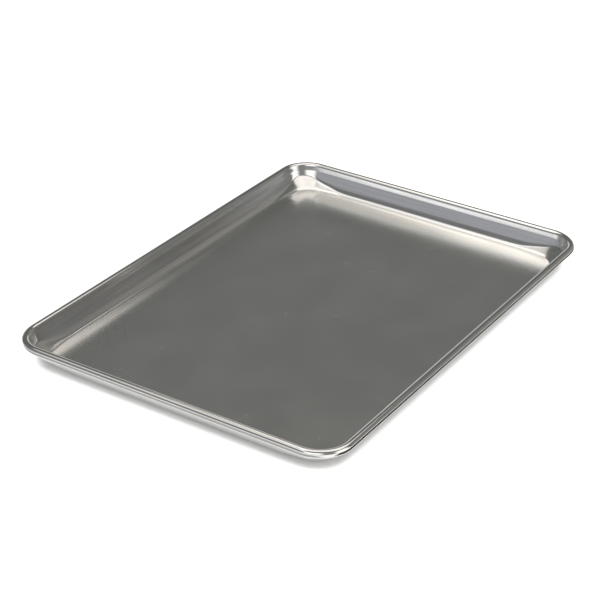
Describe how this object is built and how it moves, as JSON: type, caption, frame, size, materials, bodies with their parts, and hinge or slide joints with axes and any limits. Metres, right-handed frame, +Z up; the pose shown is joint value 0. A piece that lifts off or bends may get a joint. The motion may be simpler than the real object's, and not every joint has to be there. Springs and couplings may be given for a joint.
{
  "type": "jelly roll pan",
  "caption": "Shallow rectangular baking tray of satin aluminium with rounded corners, sloping walls and a rim rolled round a steel wire.",
  "frame": {"origin": "the middle of the floor's underside, on the surface that the pan stands on", "axes": "+X along the long sides, +Y along the short sides, +Z up out of the pan"},
  "size_m": [0.455, 0.325, 0.0235],
  "materials": {
    "satin_aluminium": "satin",
    "galvanised_wire": "satin"
  },
  "bodies": {
    "root": {"pan_body": "satin_aluminium", "rim_wire": "galvanised_wire"}
  },
  "joints": []
}
